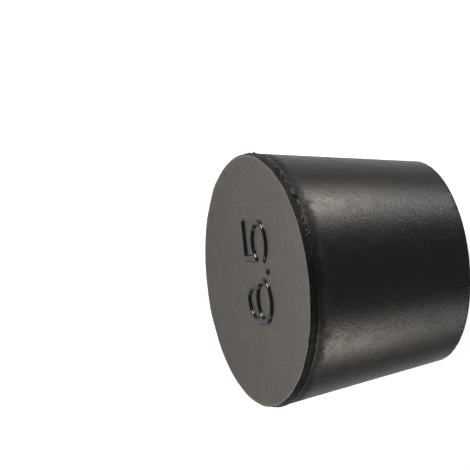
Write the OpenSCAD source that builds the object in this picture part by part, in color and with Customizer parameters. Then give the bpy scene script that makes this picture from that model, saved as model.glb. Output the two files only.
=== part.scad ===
// Solid tapered rubber stopper for laboratory glassware, size 6.5.
// One moulded piece. It stands on its small end at Z = 0, centred on the Z axis.
// The large end is up and carries the raised size number, which reads along +X.

/* [Body] */
// Widest diameter, over the parting line near the large end
large_d = 34; // [28:0.5:60]
// Diameter of the small end, before its edge is rounded
small_d = 27; // [14:0.5:50]
// Height between the two flat ends
height = 25; // [18:0.5:45]
// Radius of the small end's edge
small_edge_r = 0.2; // [0.1:0.05:1]

/* [Rim of the large end] */
// Height of the trimmed rim, from the parting line up to the flat end
rim_h = 1; // [0.6:0.1:4]
// How far the rim leans in from the widest diameter to the flat end
rim_inset = 0.15; // [0:0.05:1]
// Radius of the flat end's edge
rim_edge_r = 0.1; // [0.05:0.05:0.5]
// Radius of the bead that the mould's parting line leaves
bead_r = 0.15; // [0.1:0.05:0.4]
// How far the bead stands out from the side
bead_proud = 0.08; // [0.02:0.02:0.3]

/* [Size number] */
// Width of a digit, between the middles of its strokes
digit_w = 5.3; // [4.4:0.1:6.4]
// Height of a digit, between the middles of its strokes
digit_h = 6.75; // [6.4:0.05:8]
// Height of a digit's bowl, between the middles of its strokes
bowl_h = 4.3; // [4:0.05:4.8]
// Radius of the left and right ends of a bowl
bowl_end_r = 1.8; // [1.4:0.05:1.9]
// Distance from the middle of the 6 to the middle of the 5
digit_pitch = 7.8; // [6.8:0.1:9.5]
// Width of a stroke at the surface
stroke_w = 0.8; // [0.8:0.05:1.2]
// How far a stroke stands up from the flat end
stroke_rise = 0.39; // [0.15:0.01:0.39]
// How far the 6's round top rises above the 5's flat one
round_rise = 0.25; // [0:0.05:0.4]
// Radius of the 6's shoulder
shoulder_r = 2.9; // [2.6:0.1:3.4]
// Radius of the curl that ends the 6
curl_r = 1.5; // [1:0.1:2]
// Angle at which that curl ends, from +X
curl_end = 20; // [0:5:60]
// Length of the 5's top bar
bar_l = 4.8; // [4:0.05:5.5]
// How far the 5's bar starts inside the left side of its bowl
bar_start = 0.7; // [0.3:0.05:1]
// Angle that the 5's bowl still turns through on its left end
bowl_hook = 10; // [5:1:50]
// Height of the decimal point, between the middles of its round ends
point_h = 0.3; // [0.1:0.1:1.5]
// How far the decimal point starts above the digits' foot
point_rise = 0.25; // [0:0.05:1]
// Sideways offset of the number from the stopper's axis
number_x = 1.2; // [-2:0.1:2]
// Up and down offset of the number from the stopper's axis
number_y = -1.05; // [-2:0.05:2]

/* [Hidden] */
rubber = "#3d3b38";

// Radii of the side at the two ends, and the height where the side meets the rim.
widest_r = large_d / 2;
side_top_r = widest_r - bead_proud;
side_foot_r = small_d / 2;
face_r = widest_r - rim_inset;
parting_z = height - rim_h;

// How far the side and the rim lean from the vertical. Both angles are positive here.
side_lean = atan((side_top_r - side_foot_r) / parting_z);
rim_lean = atan((side_top_r - face_r) / rim_h);

// A round edge of radius r sits where a flat end meets a slope. Its centre is this far
// inside the sharp corner, for a slope that leans out (+) or in (-) away from the end.
function edge_in(r, lean) = r / cos(lean) - r * tan(lean);
small_edge_x = side_foot_r - edge_in(small_edge_r, side_lean);
rim_edge_x = face_r - edge_in(rim_edge_r, rim_lean);

// A stroke is a round bead. Its middle line lies at this height, just inside the flat end.
stroke_r = (pow(stroke_w / 2, 2) + pow(stroke_rise, 2)) / (2 * stroke_rise);
stroke_z = height + stroke_rise - stroke_r;

// Strokes stop this short of each joint, and the ball there is this much fuller than
// they are, so that every surface crosses its neighbour cleanly.
joint_gap = 0.02;
joint_skin = 0.004;

// A bowl is a four-centre oval: two end arcs, and two flatter arcs between them.
bowl_a = digit_w / 2;
bowl_b = bowl_h / 2;
end_x = bowl_a - bowl_end_r;
flat_y = (pow(end_x, 2) - pow(bowl_b - bowl_end_r, 2)) / (2 * (bowl_b - bowl_end_r));
flat_r = bowl_b + flat_y;
end_half = atan2(flat_y, end_x);

// Heights in a digit, from its middle.
foot_y = -digit_h / 2;
top_y = digit_h / 2;
bowl_y = foot_y + bowl_b;

body_fn = 180;
round_fn = 32;

// The turned section of the whole moulding, from the axis outwards.
module body_section() {
    polygon([
        [0, 0],
        [small_edge_x, 0],
        [small_edge_x + small_edge_r * cos(side_lean), small_edge_r * (1 - sin(side_lean))],
        [side_top_r, parting_z],
        [rim_edge_x + rim_edge_r * cos(rim_lean), height - rim_edge_r * (1 - sin(rim_lean))],
        [rim_edge_x, height],
        [0, height],
    ]);
    translate([small_edge_x, small_edge_r])
        circle(r = small_edge_r, $fn = round_fn);
    translate([rim_edge_x, height - rim_edge_r])
        circle(r = rim_edge_r, $fn = round_fn);
    translate([widest_r - bead_r, parting_z])
        circle(r = bead_r, $fn = round_fn);
}

module body() {
    rotate_extrude($fn = body_fn)
        body_section();
}

// The ball at the end of a stroke, or where two strokes join.
module ball(p) {
    translate([p.x, p.y, stroke_z])
        sphere(r = stroke_r + joint_skin, $fn = round_fn);
}

// A straight stroke from p to q.
module stroke_line(p, q) {
    run = q - p;
    translate([p.x, p.y, stroke_z])
        rotate([0, 90, atan2(run.y, run.x)])
            translate([0, 0, joint_gap])
                cylinder(h = norm(run) - 2 * joint_gap, r = stroke_r, $fn = round_fn);
}

// A curved stroke about centre c, from one angle to another.
module stroke_arc(c, r, from, to) {
    gap = joint_gap / r * 180 / PI;
    translate([c.x, c.y, stroke_z])
        rotate([0, 0, from + gap])
            rotate_extrude(angle = to - from - 2 * gap, $fn = body_fn)
                translate([r, 0])
                    circle(r = stroke_r, $fn = round_fn);
}

// The point at an angle on an arc about centre c.
function on_arc(c, r, angle) = c + r * [cos(angle), sin(angle)];

// The right-hand end and the flat foot of a bowl, with the balls that join them.
module bowl_right_and_foot() {
    right = [end_x, bowl_y];
    flat_top = [0, bowl_y + flat_y];
    stroke_arc(right, bowl_end_r, -end_half, end_half);
    ball(on_arc(right, bowl_end_r, end_half));
    ball(on_arc(right, bowl_end_r, -end_half));
    stroke_arc(flat_top, flat_r, 180 + end_half, 360 - end_half);
    ball(on_arc(flat_top, flat_r, 180 + end_half));
}

module digit_six() {
    left = [-end_x, bowl_y];
    spine_top = [-bowl_a, top_y + round_rise - shoulder_r];
    shoulder = spine_top + [shoulder_r, 0];
    curl = shoulder + [0, shoulder_r - curl_r];
    flat_foot = [0, bowl_y - flat_y];
    // The bowl's top runs on in one arc until it meets the spine.
    meet = acos(-bowl_a / flat_r);
    bowl_right_and_foot();
    stroke_arc(flat_foot, flat_r, end_half, meet);
    ball(on_arc(flat_foot, flat_r, meet));
    stroke_arc(left, bowl_end_r, 180, 180 + end_half);
    ball([-bowl_a, bowl_y]);
    stroke_line([-bowl_a, bowl_y], spine_top);
    ball(spine_top);
    stroke_arc(shoulder, shoulder_r, 90, 180);
    ball(on_arc(shoulder, shoulder_r, 90));
    stroke_arc(curl, curl_r, curl_end, 90);
    ball(on_arc(curl, curl_r, curl_end));
}

module digit_five() {
    left = [-end_x, bowl_y];
    corner = [bar_start - bowl_a, top_y];
    flat_foot = [0, bowl_y - flat_y];
    join = on_arc(flat_foot, flat_r, 180 - end_half);
    hook = 180 + end_half - bowl_hook;
    bowl_right_and_foot();
    stroke_arc(flat_foot, flat_r, end_half, 180 - end_half);
    stroke_arc(left, bowl_end_r, hook, 180 + end_half);
    ball(on_arc(left, bowl_end_r, hook));
    ball(join);
    stroke_line(join, corner);
    ball(corner);
    stroke_line(corner, corner + [bar_l, 0]);
    ball(corner + [bar_l, 0]);
}

module decimal_point() {
    low = [0, foot_y + point_rise];
    high = low + [0, point_h];
    ball(low);
    stroke_line(low, high);
    ball(high);
}

module size_number() {
    translate([number_x, number_y, 0]) {
        translate([-digit_pitch / 2, 0, 0])
            digit_six();
        decimal_point();
        translate([digit_pitch / 2, 0, 0])
            digit_five();
    }
}

module stopper() {
    color(rubber)
        union() {
            body();
            size_number();
        }
}

stopper();
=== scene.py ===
import math

import bpy
import numpy as np
from mathutils import Matrix, Vector
from mathutils.geometry import delaunay_2d_cdt


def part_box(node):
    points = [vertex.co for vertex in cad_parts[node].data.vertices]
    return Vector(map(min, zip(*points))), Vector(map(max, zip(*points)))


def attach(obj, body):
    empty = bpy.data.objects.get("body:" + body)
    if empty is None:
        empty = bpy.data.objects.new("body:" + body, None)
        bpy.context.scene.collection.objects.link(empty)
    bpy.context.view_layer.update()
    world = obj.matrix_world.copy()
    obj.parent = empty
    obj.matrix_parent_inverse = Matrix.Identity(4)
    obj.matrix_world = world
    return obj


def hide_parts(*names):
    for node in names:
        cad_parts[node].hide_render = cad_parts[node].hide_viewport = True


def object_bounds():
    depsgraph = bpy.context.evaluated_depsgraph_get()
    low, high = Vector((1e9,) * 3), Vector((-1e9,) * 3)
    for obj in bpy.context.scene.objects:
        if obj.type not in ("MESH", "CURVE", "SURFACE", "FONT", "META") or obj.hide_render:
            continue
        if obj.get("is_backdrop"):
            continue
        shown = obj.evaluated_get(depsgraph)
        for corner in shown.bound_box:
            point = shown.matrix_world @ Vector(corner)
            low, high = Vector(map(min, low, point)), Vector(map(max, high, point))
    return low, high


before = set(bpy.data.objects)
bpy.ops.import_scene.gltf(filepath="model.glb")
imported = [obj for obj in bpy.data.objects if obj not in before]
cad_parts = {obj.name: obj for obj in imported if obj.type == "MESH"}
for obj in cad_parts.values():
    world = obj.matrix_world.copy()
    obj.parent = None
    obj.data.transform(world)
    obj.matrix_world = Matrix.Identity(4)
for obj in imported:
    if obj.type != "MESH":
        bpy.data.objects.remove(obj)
bounds_at_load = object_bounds()

# Lengths here are in millimetres, as in the part's source. MM turns them into metres.
MM = 0.001
low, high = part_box("stopper")

# The body. Its two overall sizes come from the frame. The number stands up from the large end.
STROKE_RISE = 0.39
HEIGHT = (high.z - low.z) / MM - STROKE_RISE
WIDEST_R = (high.x - low.x) / 2 / MM
SMALL_R = 13.5
SMALL_EDGE_R = 0.2
RIM_H = 1.0
RIM_INSET = 0.15
RIM_EDGE_R = 0.1
BEAD_R = 0.15
BEAD_PROUD = 0.08
# How far above and below the parting line the torn flash reaches.
FLASH_REACH = 0.38
# How far the dull band that trimming leaves reaches down from the large end.
TRIM_BAND = 2.05
PARTING_Z = HEIGHT - RIM_H
SIDE_TOP_R = WIDEST_R - BEAD_PROUD
FACE_R = WIDEST_R - RIM_INSET

# The size number.
DIGIT_W = 5.3
DIGIT_H = 6.75
BOWL_H = 4.3
BOWL_END_R = 1.8
DIGIT_PITCH = 7.8
STROKE_W = 0.8
FILLET_W = 0.08
FILLET_RISE = 0.05
ROUND_RISE = 0.25
SHOULDER_R = 2.9
CURL_R = 1.5
CURL_END = 20.0
BAR_L = 4.8
BAR_START = 0.7
BOWL_HOOK = 10.0
POINT_H = 0.3
POINT_RISE = 0.25
NUMBER_MIDDLE = np.array([1.2, -1.05])

# Mesh density.
COLUMNS = 1080
STATION = 0.1
OPEN_PITCH = 0.5

# The material slots, in the order in which the materials are added.
SIDE, FACE, NUMBER, FOOT, TRIM = range(5)

THETA = np.arange(COLUMNS) * 2 * math.pi / COLUMNS


# ---------------------------------------------------------------- irregular edges


def ring_noise(seed, slowest, fastest):
    """Seeded noise round the axis, with no seam, of unit strength."""
    chance = np.random.default_rng(seed)
    turns = np.arange(slowest, fastest + 1)
    phase = chance.uniform(0, 2 * math.pi, len(turns))
    waves = np.cos(np.outer(THETA, turns) + phase)
    noise = waves.sum(axis=1)
    return noise / noise.std()


def notch(angle, width, depth):
    """A small missing piece of an edge, at an angle in degrees, with its width in mm along the edge."""
    away = (THETA - math.radians(angle) + math.pi) % (2 * math.pi) - math.pi
    return -depth * np.exp(-((away * WIDEST_R / (width / 2)) ** 2))


def rim_trim():
    """How far the knife that trimmed the rim went off a true circle."""
    wander = 0.035 * ring_noise(11, 3, 24)
    chatter = 0.012 * ring_noise(12, 60, 220)
    return wander + chatter + notch(-118, 1.2, 0.12) + notch(-35, 0.8, 0.08)


def tearing():
    """How badly the flash on the parting line is torn. It is worst below and right of the digits."""
    away = (THETA - math.radians(-50) + math.pi) % (2 * math.pi) - math.pi
    return 0.35 + 1.1 * np.exp(-((away / math.radians(20)) ** 2))


def flash_rows(side_r, rim_r):
    """Rows over the bead and its torn flash, each row crumpled in its own way."""
    torn = tearing()
    trim = rim_trim()
    patches = np.clip(0.6 + 0.5 * ring_noise(22, 15, 70), 0, 1.6)
    rows = []
    above = (0.05, 0.11, 0.17, 0.23, 0.3, FLASH_REACH)
    lifts = (*(-lift for lift in reversed(above)), 0.0, *above)
    shares = (0.0, 0.35, 0.7, 0.9, 1.0, 1.0, 1.0, 1.0, 1.0, 0.9, 0.7, 0.35, 0.0)
    for k, (lift, share) in enumerate(zip(lifts, shares)):
        round_r = WIDEST_R - BEAD_R + math.sqrt(max(BEAD_R**2 - lift**2, 0.0))
        smooth_r = max(round_r, side_r(PARTING_Z + lift) if lift < 0 else rim_r(PARTING_Z + lift))
        out = 0.09 * np.clip(ring_noise(40 + k, 60, 240), -0.7, 2.2) + 0.04
        up = 0.015 * ring_noise(60 + k, 60, 260)
        crumple = torn * patches * share
        rows.append((PARTING_Z + lift + up * crumple, smooth_r + out * crumple + 0.3 * trim))
    return rows


# ---------------------------------------------------------------- the turned surface


def edge_in(radius, lean):
    return radius / math.cos(lean) - radius * math.tan(lean)


def turned_rows():
    """Rows of the side, from the small end's flat up to the large end's flat.

    Each row is (z, r) with one value a column.
    """
    side_lean = math.atan2(SIDE_TOP_R - SMALL_R, PARTING_Z)
    rim_lean = math.atan2(SIDE_TOP_R - FACE_R, RIM_H)
    trim = rim_trim()
    foot_wear = 0.012 * ring_noise(31, 5, 90) + notch(-60, 0.7, 0.07) + notch(-140, 0.5, 0.05)
    rows = []

    foot_x = SMALL_R - edge_in(SMALL_EDGE_R, side_lean)
    for turn in np.linspace(-math.pi / 2, -side_lean, 6):
        z = SMALL_EDGE_R * (1 + math.sin(turn))
        r = foot_x + SMALL_EDGE_R * math.cos(turn)
        rows.append((np.full(COLUMNS, z), r + foot_wear))

    def side_r(z):
        return SMALL_R + z * math.tan(side_lean)

    for z in (0.5, 1.0, 3.0, 6.0, 9.0, 12.0, 15.0, 18.0, 20.5, 22.0, *np.arange(22.3, 23.6, 0.12)):
        fade = max(0.0, 1 - z / 1.0)
        rows.append((np.full(COLUMNS, z), side_r(z) + foot_wear * fade))

    def rim_r(z):
        return SIDE_TOP_R - (z - PARTING_Z) * math.tan(rim_lean)

    rows += flash_rows(side_r, rim_r)
    edge_x = FACE_R - edge_in(RIM_EDGE_R, rim_lean)
    for share in (0.15, 0.35, 0.55, 0.75, 0.88):
        z = PARTING_Z + FLASH_REACH + share * (RIM_H - FLASH_REACH)
        rows.append((np.full(COLUMNS, z), rim_r(z) + trim * (0.3 + 0.7 * share)))
    for turn in np.linspace(rim_lean, math.pi / 2, 5):
        z = HEIGHT - RIM_EDGE_R * (1 - math.sin(turn))
        r = edge_x + RIM_EDGE_R * math.cos(turn)
        rows.append((np.full(COLUMNS, z), r + trim))
    return rows


# ---------------------------------------------------------------- the size number


class Stroke:
    """A stroke's middle line, as points with the direction across the stroke at each."""

    def __init__(self, points, across):
        self.points = points
        self.across = across


def arc(centre, radius, start, stop):
    count = max(2, int(abs(math.radians(stop - start)) * radius / STATION))
    turn = np.radians(np.linspace(start, stop, count))
    across = np.stack([np.cos(turn), np.sin(turn)], axis=1)
    return Stroke(np.array(centre) + radius * across, across)


def line(start, stop):
    start, stop = np.array(start, float), np.array(stop, float)
    run = stop - start
    length = np.linalg.norm(run)
    count = max(2, int(length / STATION))
    across = np.array([-run[1], run[0]]) / length
    share = np.linspace(0, 1, count)[:, None]
    return Stroke(start + share * run, np.repeat(across[None], count, axis=0))


def bowl_sizes():
    a, b = DIGIT_W / 2, BOWL_H / 2
    end_x = a - BOWL_END_R
    flat_y = (end_x**2 - (b - BOWL_END_R) ** 2) / (2 * (b - BOWL_END_R))
    return a, end_x, flat_y, b + flat_y, math.degrees(math.atan2(flat_y, end_x))


def digit_strokes():
    """The strokes of both digits and the decimal point, about the number's middle."""
    a, end_x, flat_y, flat_r, end_half = bowl_sizes()
    foot_y, top_y = -DIGIT_H / 2, DIGIT_H / 2
    bowl_y = foot_y + BOWL_H / 2
    six, five = -DIGIT_PITCH / 2, DIGIT_PITCH / 2
    strokes = []
    for middle in (six, five):
        strokes.append(arc((middle + end_x, bowl_y), BOWL_END_R, -end_half, end_half))
        strokes.append(arc((middle, bowl_y + flat_y), flat_r, 180 + end_half, 360 - end_half))

    meet = math.degrees(math.acos(-a / flat_r))
    shoulder_y = top_y + ROUND_RISE - SHOULDER_R
    shoulder = (six - a + SHOULDER_R, shoulder_y)
    curl = (shoulder[0], top_y + ROUND_RISE - CURL_R)
    strokes.append(arc((six, bowl_y - flat_y), flat_r, end_half, meet))
    strokes.append(arc((six - end_x, bowl_y), BOWL_END_R, 180, 180 + end_half))
    strokes.append(line((six - a, bowl_y), (six - a, shoulder_y)))
    strokes.append(arc(shoulder, SHOULDER_R, 90, 180))
    strokes.append(arc(curl, CURL_R, CURL_END, 90))

    corner = (five - a + BAR_START, top_y)
    join_turn = math.radians(180 - end_half)
    join = (five + flat_r * math.cos(join_turn), bowl_y - flat_y + flat_r * math.sin(join_turn))
    strokes.append(arc((five, bowl_y - flat_y), flat_r, end_half, 180 - end_half))
    strokes.append(arc((five - end_x, bowl_y), BOWL_END_R, 180 + end_half - BOWL_HOOK, 180 + end_half))
    strokes.append(line(join, corner))
    strokes.append(line(corner, (corner[0] + BAR_L, top_y)))

    point_foot = foot_y + POINT_RISE
    strokes.append(line((0, point_foot), (0, point_foot + POINT_H)))
    for stroke in strokes:
        stroke.points = stroke.points + NUMBER_MIDDLE
    return strokes


STROKES = digit_strokes()


def distance_to_strokes(points):
    """Each point's distance from the nearest stroke's middle line."""
    nearest = np.full(len(points), 1e9)
    for stroke in STROKES:
        starts, runs = stroke.points[:-1], np.diff(stroke.points, axis=0)
        reach = (runs**2).sum(axis=1)
        for start, run, size in zip(starts, runs, reach):
            share = np.clip(((points - start) @ run) / size, 0, 1)
            gap = points - start - share[:, None] * run
            nearest = np.minimum(nearest, np.hypot(gap[:, 0], gap[:, 1]))
    return nearest


def stroke_height(distance):
    """The round section of a stroke, with a fine fillet where it leaves the flat end."""
    half = STROKE_W / 2
    round_r = (half**2 + STROKE_RISE**2) / (2 * STROKE_RISE)
    inside = np.sqrt(np.clip(round_r**2 - distance**2, 0, None)) - (round_r - STROKE_RISE)
    fillet = FILLET_RISE * np.clip(1 - (distance - half) / FILLET_W, 0, 1) ** 2
    return np.where(distance < half, np.maximum(inside, FILLET_RISE), fillet)


# ---------------------------------------------------------------- the two flat ends


def ring_points(radius, count, shift=0.0):
    turn = (np.arange(count) + shift) * 2 * math.pi / count
    return radius * np.stack([np.cos(turn), np.sin(turn)], axis=1)


def open_points(radius, pitch):
    """Evenly spread points on a disc, in staggered rows."""
    steps = int(radius / pitch) + 1
    rows = []
    for j in range(-steps, steps + 1):
        y = j * pitch * math.sqrt(3) / 2
        x = (np.arange(-steps, steps + 1) + 0.5 * (j % 2)) * pitch
        rows.append(np.stack([x, np.full(len(x), y)], axis=1))
    points = np.concatenate(rows)
    return points[np.hypot(points[:, 0], points[:, 1]) < radius]


def number_points():
    """Points in rows along every stroke, closest together at its lips."""
    half = STROKE_W / 2
    within = [0, 0.11, 0.2, 0.27, 0.32, 0.355, 0.38, half - 0.006]
    beyond = [half + 0.015, half + 0.045, half + FILLET_W, half + 0.18]
    offsets = np.array(within + beyond)
    offsets = np.concatenate([-offsets[:0:-1], offsets])
    found = []
    for stroke in STROKES:
        for offset in offsets:
            row = stroke.points + offset * stroke.across
            keep = distance_to_strokes(row) > abs(offset) - 0.02
            found.append(row[keep])
        for end, sign in ((0, -1), (-1, 1)):
            along = sign * np.array([stroke.across[end][1], -stroke.across[end][0]])
            for offset in offsets[offsets > 0]:
                for turn in np.radians(np.arange(-75, 90, 15)):
                    way = math.cos(turn) * along + math.sin(turn) * stroke.across[end]
                    spot = stroke.points[end] + offset * way
                    if distance_to_strokes(spot[None])[0] > offset - 0.01:
                        found.append(spot[None])
    return np.concatenate(found)


def thin_out(points, gap):
    """Drops each point that shares a small cell with an earlier one."""
    cells = np.floor(points / gap).astype(int)
    first = np.unique(cells, axis=0, return_index=True)[1]
    return points[np.sort(first)]


def fill_disc(rim, inner):
    """Triangles over the inside of a closed rim of points. The rim's points come first."""
    count = len(rim)
    points = np.concatenate([rim, inner])
    edges = [(i, (i + 1) % count) for i in range(count)]
    verts, _, faces, origins, _, _ = delaunay_2d_cdt([Vector(p) for p in points], edges, [], 1, 1e-7)
    place = [min(o) if o else -1 for o in origins]
    return np.array([tuple(v) for v in verts]), [tuple(f) for f in faces], place


def stroke_normals(points):
    """True normals of the round strokes. Everywhere else they are zero, and Blender finds them."""
    normals = np.zeros((len(points), 3))
    top = np.flatnonzero(points[:, 2] > HEIGHT + 0.06)
    spots = points[top, :2]
    step = 0.01
    for axis in range(2):
        shift = np.zeros(2)
        shift[axis] = step
        ahead = stroke_height(distance_to_strokes(spots + shift))
        behind = stroke_height(distance_to_strokes(spots - shift))
        normals[top, axis] = (behind - ahead) / (2 * step)
    normals[top, 2] = 1.0
    normals[top] /= np.linalg.norm(normals[top], axis=1)[:, None]
    return normals


# ---------------------------------------------------------------- the whole mesh


def build_stopper():
    rows = turned_rows()
    cos, sin = np.cos(THETA), np.sin(THETA)
    verts = [np.stack([r * cos, r * sin, z], axis=1) for z, r in rows]
    total = len(rows) * COLUMNS
    faces = []
    for j in range(len(rows) - 1):
        for i in range(COLUMNS):
            k = (i + 1) % COLUMNS
            faces.append((j * COLUMNS + i, j * COLUMNS + k, (j + 1) * COLUMNS + k, (j + 1) * COLUMNS + i))
    pairs = zip(rows[:-1], rows[1:])
    middle_z = np.mean([np.stack([below[0], above[0]]).mean(axis=0) for below, above in pairs], axis=1)
    trim_edge = HEIGHT - TRIM_BAND + 0.16 * ring_noise(71, 4, 30) + 0.16 * ring_noise(72, 40, 300)
    slots = [TRIM if z > trim_edge[i] else SIDE for z in middle_z for i in range(COLUMNS)]

    def add_end(row, inner, height_of, flip, slot_of):
        nonlocal total
        rim = verts[row][:, :2]
        spots, triangles, place = fill_disc(rim, inner)
        names = []
        fresh = []
        base = row * COLUMNS
        for spot, origin in zip(spots, place):
            if 0 <= origin < COLUMNS:
                names.append(base + origin)
            else:
                names.append(total + len(fresh))
                fresh.append(spot)
        fresh = np.array(fresh)
        verts.append(np.column_stack([fresh, height_of(fresh)]))
        total += len(fresh)
        middles = np.array([spots[list(t)].mean(axis=0) for t in triangles])
        for t, s in zip(triangles, slot_of(middles)):
            named = [names[v] for v in t]
            faces.append(tuple(named[::-1] if flip else named))
            slots.append(int(s))

    face_inner = np.concatenate(
        [
            ring_points(FACE_R - 0.32, COLUMNS // 2),
            ring_points(FACE_R - 0.6, COLUMNS // 4, 0.5),
            open_points(FACE_R - 0.9, OPEN_PITCH),
        ]
    )
    away = distance_to_strokes(face_inner)
    face_inner = face_inner[away > STROKE_W / 2 + 0.3]
    face_inner = np.concatenate([thin_out(number_points(), 0.01), face_inner])
    add_end(
        len(rows) - 1,
        face_inner,
        lambda p: HEIGHT + stroke_height(distance_to_strokes(p)),
        False,
        lambda m: np.where(distance_to_strokes(m) < STROKE_W / 2 + 0.03, NUMBER, FACE),
    )
    foot_inner = np.concatenate([ring_points(SMALL_R - 0.6, COLUMNS // 3), open_points(SMALL_R - 0.9, 0.9)])
    add_end(0, foot_inner, lambda p: np.zeros(len(p)), True, lambda m: np.full(len(m), FOOT))

    mesh = bpy.data.meshes.new("stopper_body")
    mesh.from_pydata((np.concatenate(verts) * MM).tolist(), [], faces)
    mesh.validate()
    mesh.polygons.foreach_set("material_index", slots)
    mesh.polygons.foreach_set("use_smooth", [True] * len(faces))
    mesh.update()
    mesh.normals_split_custom_set_from_vertices(stroke_normals(np.concatenate(verts)).tolist())
    return mesh


# ---------------------------------------------------------------- materials


class Nodes:
    """A short way to add and join nodes in one material."""

    def __init__(self, name):
        self.material = bpy.data.materials.new(name)
        self.material.use_nodes = True
        self.tree = self.material.node_tree
        self.shader = self.tree.nodes["Principled BSDF"]

    def add(self, kind, inputs=(), **settings):
        node = self.tree.nodes.new(kind)
        for key, value in settings.items():
            setattr(node, key, value)
        for key, value in dict(inputs).items():
            self.put(value, node.inputs[key])
        return node

    def put(self, value, socket):
        if isinstance(value, bpy.types.NodeSocket):
            self.tree.links.new(value, socket)
        else:
            socket.default_value = value

    def place(self):
        return self.add("ShaderNodeTexCoord").outputs["Object"]

    def noise(self, where, per_mm, detail, rough, stretch=None):
        if stretch is not None:
            where = self.add("ShaderNodeMapping", {"Vector": where, "Scale": stretch}).outputs["Vector"]
        settings = {"Vector": where, "Scale": per_mm / MM, "Detail": detail, "Roughness": rough}
        # Away from 2, so that no octave repeats another's lattice and leaves specks there.
        settings["Lacunarity"] = 2.17
        return self.add("ShaderNodeTexNoise", settings).outputs["Fac"]

    def fit(self, value, start, stop, low=0.0, high=1.0):
        settings = {"Value": value, "From Min": start, "From Max": stop, "To Min": low, "To Max": high}
        return self.add("ShaderNodeMapRange", settings).outputs["Result"]

    def math(self, operation, first, second=0.0):
        return self.add("ShaderNodeMath", {0: first, 1: second}, operation=operation).outputs[0]

    def between(self, data_type, share, first, second):
        node = self.add("ShaderNodeMix", {}, data_type=data_type)
        for key, value in (("Factor", share), ("A", first), ("B", second)):
            self.put(value, next(s for s in node.inputs if s.name == key and s.enabled))
        return next(s for s in node.outputs if s.enabled)

    def mix(self, share, first, second):
        """The mix of two colours."""
        return self.between("RGBA", share, first, second)

    def blend(self, share, first, second):
        """The mix of two numbers."""
        return self.between("FLOAT", share, first, second)

    def bump(self, height, depth_mm, strength, normal=None):
        settings = {"Height": height, "Distance": depth_mm * MM, "Strength": strength}
        if normal is not None:
            settings["Normal"] = normal
        return self.add("ShaderNodeBump", settings).outputs["Normal"]


def grey(value, warm=0.0):
    return (value * (1 + warm), value, value * (1 - warm), 1.0)


def side_material():
    """Satin rubber, mottled, with fine marks along it and round it. It turns dull near the trimmed band."""
    n = Nodes("rubber_side")
    where = n.place()
    height = n.add("ShaderNodeSeparateXYZ", {"Vector": where}).outputs["Z"]
    mottle = n.noise(where, 0.45, 6.0, 0.68)
    ragged = n.noise(where, 1.2, 5.0, 0.7, (1.0, 1.0, 0.4))
    brushed = n.noise(where, 0.4, 4.0, 0.7, (1.0, 1.0, 7.0))
    drawn = n.noise(where, 1.6, 4.0, 0.7, (1.0, 1.0, 0.2))
    aslant = n.add("ShaderNodeVectorRotate", {"Vector": where, "Angle": 0.72}, rotation_type="Y_AXIS")
    slanted = n.noise(aslant.outputs["Vector"], 0.6, 3.0, 0.6, (0.35, 4.0, 5.0))
    grain = n.noise(where, 3.4, 3.0, 0.55)

    wobble = n.math("MULTIPLY", n.math("SUBTRACT", ragged, 0.5), 3.2 * MM)
    edge = n.math("ADD", height, wobble)
    trimmed = n.fit(edge, (HEIGHT - 3.1) * MM, (HEIGHT - 2.2) * MM)

    n.put(n.mix(mottle, grey(0.010, 0.03), grey(0.018, 0.14)), n.shader.inputs["Base Color"])
    marks = n.math("ADD", n.fit(drawn, 0.3, 0.7, 0.31, 0.39), n.fit(slanted, 0.3, 0.7, -0.045, 0.045))
    marks = n.math("ADD", marks, n.fit(grain, 0.3, 0.7, -0.045, 0.045))
    satin = n.math("MAXIMUM", n.math("ADD", marks, n.fit(mottle, 0.3, 0.7, -0.05, 0.055)), 0.315)
    dull = n.fit(brushed, 0.3, 0.7, 0.5, 0.66)
    n.put(n.blend(trimmed, satin, dull), n.shader.inputs["Roughness"])
    n.shader.inputs["Specular IOR Level"].default_value = 0.45
    normal = n.bump(brushed, 0.02, 0.6)
    normal = n.bump(drawn, 0.015, 0.6, normal)
    normal = n.bump(slanted, 0.014, 0.6, normal)
    normal = n.bump(grain, 0.03, 0.85, normal)
    n.put(normal, n.shader.inputs["Normal"])
    return n.material


def trim_material():
    """The trimmed band and rim: darker and rougher, with pale crumbs painted on the torn flash as glints.
    """
    n = Nodes("rubber_trim")
    where = n.place()
    parts = n.add("ShaderNodeSeparateXYZ", {"Vector": where})
    height = parts.outputs["Z"]
    mottle = n.noise(where, 0.8, 4.0, 0.65)
    cut = n.noise(where, 0.5, 4.0, 0.7, (1.0, 1.0, 7.0))
    grain = n.noise(where, 3.0, 3.0, 0.65)
    near_line = n.math("ABSOLUTE", n.math("SUBTRACT", height, PARTING_Z * MM))
    flash = n.fit(near_line, 0.4 * MM, 0.28 * MM)
    # Below and right of the digits the flash is torn most, and the painted glints on it are strongest
    # there.
    rightwards = n.math("MULTIPLY", parts.outputs["X"], 0.64)
    upwards = n.math("MULTIPLY", parts.outputs["Y"], 0.77)
    corner = n.math("SUBTRACT", rightwards, upwards)
    torn = n.fit(corner, 0.82 * WIDEST_R * MM, 0.98 * WIDEST_R * MM, 0.15, 1.0)
    # Painted glints: pale specks along the parting line, where the torn flash catches the light.
    painted_glint_crumbs = n.fit(n.noise(where, 2.0, 3.0, 0.6), 0.49, 0.58)
    painted_glint_crumbs = n.math("MULTIPLY", n.math("MULTIPLY", painted_glint_crumbs, torn), flash)

    colour = n.mix(mottle, grey(0.006, 0.03), grey(0.012, 0.06))
    # The pale crumbs are painted glints, not a colour of the rubber.
    n.put(n.mix(painted_glint_crumbs, colour, grey(0.11, 0.02)), n.shader.inputs["Base Color"])
    n.put(n.blend(flash, n.fit(cut, 0.3, 0.7, 0.46, 0.64), 0.33), n.shader.inputs["Roughness"])
    n.shader.inputs["Specular IOR Level"].default_value = 0.26
    normal = n.bump(cut, 0.05, 0.6)
    normal = n.bump(grain, 0.04, 0.8, normal)
    n.put(normal, n.shader.inputs["Normal"])
    return n.material


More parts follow.
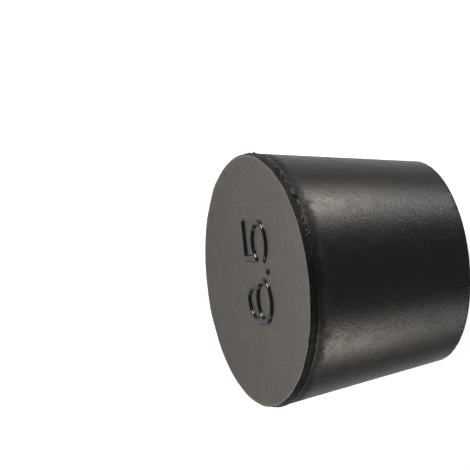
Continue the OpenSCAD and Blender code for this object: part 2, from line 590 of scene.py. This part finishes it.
def face_material():
    """Matt, faintly dusty rubber with a cloth-like grain. Painted shade makes it darker towards +Y, and a
    painted highlight makes a paler ring along its edge.
    """
    n = Nodes("rubber_face")
    where = n.place()
    parts = n.add("ShaderNodeSeparateXYZ", {"Vector": where})
    across, along = parts.outputs["X"], parts.outputs["Y"]
    squares = [n.math("MULTIPLY", side, side) for side in (across, along)]
    radius = n.math("SQRT", n.math("ADD", *squares))
    mottle = n.noise(where, 0.22, 5.0, 0.62)
    grain = n.noise(where, 1.9, 4.0, 0.72)
    warp = n.noise(where, 0.6, 3.0, 0.6, (0.3, 2.0, 1.0))
    weft = n.noise(where, 0.6, 3.0, 0.6, (3.2, 0.3, 1.0))
    cloth = n.math("MULTIPLY", n.math("ADD", warp, weft), 0.5)
    fine = n.blend(0.5, n.fit(cloth, 0.38, 0.62), n.fit(grain, 0.3, 0.7))
    # Painted shade: the face is darker towards +Y, mixed with a little random mottle.
    painted_shade_and_mottle = n.blend(0.2, n.fit(along, FACE_R * MM, -FACE_R * MM), n.fit(mottle, 0.3, 0.7))
    colour = n.mix(n.blend(0.5, fine, painted_shade_and_mottle), grey(0.044, 0.1), grey(0.160, 0.1))
    # Painted highlight: a paler ring along the face's edge, its inner border made ragged by the grain.
    uneven = n.math("ADD", radius, n.math("MULTIPLY", grain, 0.12 * MM))
    painted_edge_highlight = n.fit(uneven, (FACE_R - 0.4) * MM, (FACE_R - 0.1) * MM)
    n.put(n.mix(painted_edge_highlight, colour, grey(0.185, 0.06)), n.shader.inputs["Base Color"])
    n.put(n.fit(cloth, 0.35, 0.65, 0.52, 0.66), n.shader.inputs["Roughness"])
    n.shader.inputs["Specular IOR Level"].default_value = 0.4
    normal = n.bump(cloth, 0.05, 0.7)
    normal = n.bump(grain, 0.03, 0.7, normal)
    n.put(normal, n.shader.inputs["Normal"])
    return n.material


def number_material():
    """The raised strokes keep the mould's gloss."""
    n = Nodes("rubber_number")
    where = n.place()
    smear = n.noise(where, 1.5, 2.0, 0.5)
    grain = n.noise(where, 6.0, 2.0, 0.5)
    n.put(n.mix(smear, grey(0.004, 0.05), grey(0.008, 0.05)), n.shader.inputs["Base Color"])
    n.put(n.fit(smear, 0.3, 0.7, 0.11, 0.15), n.shader.inputs["Roughness"])
    n.shader.inputs["Specular IOR Level"].default_value = 0.5
    n.put(n.bump(grain, 0.004, 0.3), n.shader.inputs["Normal"])
    return n.material


def foot_material():
    n = Nodes("rubber_small_end")
    where = n.place()
    mottle = n.noise(where, 0.4, 4.0, 0.6)
    grain = n.noise(where, 3.5, 4.0, 0.65)
    chatter = n.noise(where, 0.9, 2.0, 0.5, (0.25, 3.0, 1.0))
    n.put(n.mix(mottle, grey(0.035, 0.04), grey(0.055, 0.04)), n.shader.inputs["Base Color"])
    n.put(n.fit(grain, 0.3, 0.7, 0.6, 0.78), n.shader.inputs["Roughness"])
    n.shader.inputs["Specular IOR Level"].default_value = 0.45
    normal = n.bump(chatter, 0.08, 0.6)
    normal = n.bump(grain, 0.06, 0.7, normal)
    n.put(normal, n.shader.inputs["Normal"])
    return n.material


# ---------------------------------------------------------------- camera, floor and light

# Where the camera stands, seen from the object, and how far it is turned about its line of sight.
VIEW_AZIMUTH = -88.5
VIEW_ELEVATION = 23.51
VIEW_TURN = -96.47
VIEW_DISTANCE = 657.8
LENS = 377.2
# How far the middle of the object lies right of and below the middle of the picture.
OFF_RIGHT = 14.24
OFF_DOWN = 4.80


def camera_axes():
    """The camera's right, up and back directions in the row frame."""
    azimuth, elevation, turn = (math.radians(a) for a in (VIEW_AZIMUTH, VIEW_ELEVATION, VIEW_TURN))
    out = math.cos(elevation)
    back = Vector((out * math.cos(azimuth), out * math.sin(azimuth), math.sin(elevation)))
    level = Vector((0, 0, 1)).cross(back).normalized()
    upright = back.cross(level)
    right = math.cos(turn) * level + math.sin(turn) * upright
    up = back.cross(right)
    return right, up, back


def add_camera():
    right, up, back = camera_axes()
    middle = Vector((0, 0, HEIGHT / 2))
    spot = middle - OFF_RIGHT * right + OFF_DOWN * up + VIEW_DISTANCE * back
    data = bpy.data.cameras.new("camera")
    data.lens = LENS
    data.sensor_width = 36
    data.clip_start = 0.01
    data.clip_end = 20
    camera = bpy.data.objects.new("camera", data)
    rotation = Matrix((right, up, back)).transposed().to_4x4()
    camera.matrix_world = Matrix.Translation(spot * MM) @ rotation
    bpy.context.scene.collection.objects.link(camera)
    bpy.context.scene.camera = camera


def add_floor():
    bpy.ops.mesh.primitive_plane_add(size=6, location=(0, 0, 0))
    floor = bpy.context.object
    floor.name = "floor"
    n = Nodes("pale_floor")
    n.shader.inputs["Base Color"].default_value = grey(0.9)
    n.shader.inputs["Roughness"].default_value = 1.0
    n.shader.inputs["Specular IOR Level"].default_value = 0.0
    n.shader.inputs["Emission Color"].default_value = grey(1.0)
    n.shader.inputs["Emission Strength"].default_value = 0.8
    floor.data.materials.append(n.material)
    # The lights under it shine on the stopper as if it lay in the open.
    floor.visible_glossy = False
    floor.visible_diffuse = False
    floor.visible_shadow = False
    floor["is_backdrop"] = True


def add_softbox(name, target, direction, distance, size, radiance, colour):
    """An elliptical soft light, a distance off in one direction from a target point, facing it."""
    width, depth = (side * MM for side in size)
    data = bpy.data.lights.new(name, "AREA")
    data.shape = "ELLIPSE"
    data.size, data.size_y = width, depth
    data.energy = radiance * math.pi * (math.pi * width * depth / 4)
    data.color = colour
    lamp = bpy.data.objects.new(name, data)
    way = Vector(direction).normalized()
    spot = Matrix.Translation((Vector(target) + distance * way) * MM)
    lamp.matrix_world = spot @ way.to_track_quat("Z", "Y").to_matrix().to_4x4()
    lamp.visible_camera = False
    bpy.context.scene.collection.objects.link(lamp)


def add_world():
    """A bright studio behind the object and a dim one on the camera's side."""
    world = bpy.data.worlds.new("studio")
    bpy.context.scene.world = world
    world.use_nodes = True
    tree = world.node_tree
    tree.nodes.clear()
    output = tree.nodes.new("ShaderNodeOutputWorld")
    seen = tree.nodes.new("ShaderNodeBackground")
    seen.inputs["Color"].default_value = grey(1.0)
    seen.inputs["Strength"].default_value = 1.0
    around = tree.nodes.new("ShaderNodeBackground")
    place = tree.nodes.new("ShaderNodeTexCoord")
    backwards = tree.nodes.new("ShaderNodeVectorMath")
    backwards.operation = "DOT_PRODUCT"
    backwards.inputs[1].default_value = (0.12, 1.0, 0.0)
    ramp = tree.nodes.new("ShaderNodeMapRange")
    ramp.interpolation_type = "SMOOTHSTEP"
    ramp.inputs["From Min"].default_value = 0.25
    ramp.inputs["From Max"].default_value = 0.95
    ramp.inputs["To Min"].default_value = 0.22
    ramp.inputs["To Max"].default_value = 0.88
    tree.links.new(place.outputs["Generated"], backwards.inputs[0])
    tree.links.new(backwards.outputs["Value"], ramp.inputs["Value"])
    tree.links.new(ramp.outputs["Result"], around.inputs["Strength"])
    rays = tree.nodes.new("ShaderNodeLightPath")
    choose = tree.nodes.new("ShaderNodeMixShader")
    tree.links.new(rays.outputs["Is Camera Ray"], choose.inputs["Fac"])
    tree.links.new(around.outputs["Background"], choose.inputs[1])
    tree.links.new(seen.outputs["Background"], choose.inputs[2])
    tree.links.new(choose.outputs["Shader"], output.inputs["Surface"])


def add_lights():
    add_world()
    face = (0, 0, HEIGHT)
    # Each of the two bright stripes on the side has a broad light and a small, warm, near one.
    upper, upper_way = (10.6, -12.6, 21), (0.767, -0.261, -0.58)
    lower, lower_way = (-9.2, -13.7, 21), (-0.767, -0.235, -0.60)
    add_softbox("upper_side", upper, upper_way, 200, (110, 68), 6.6, (1.0, 0.99, 0.97))
    add_softbox("upper_near", upper, upper_way, 42, (22, 9), 8.6, (1.0, 0.83, 0.66))
    add_softbox("lower_side", lower, lower_way, 200, (130, 68), 3.3, (1.0, 0.97, 0.92))
    add_softbox("lower_near", lower, lower_way, 42, (23, 10), 4.8, (1.0, 0.84, 0.68))
    add_softbox("over_right", face, (0.70, 0.05, 0.71), 400, (125, 125), 28, (1.0, 0.99, 0.97))
    add_softbox("over_left", face, (-0.72, 0.12, 0.68), 400, (125, 125), 5.0, (1.0, 0.99, 0.97))


# ---------------------------------------------------------------- put together

bpy.context.scene.view_settings.view_transform = "Standard"
add_camera()
add_floor()
add_lights()

stopper = bpy.data.objects.new("stopper_body", build_stopper())
bpy.context.scene.collection.objects.link(stopper)
for make in (side_material, face_material, number_material, foot_material, trim_material):
    stopper.data.materials.append(make())
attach(stopper, "root")
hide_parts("stopper")


def plain(value):
    """Vectors as plain lists."""
    return [plain(v) for v in value] if hasattr(value, "__len__") else float(value)


{"at_load": plain(bounds_at_load), "at_finish": plain(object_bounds())}
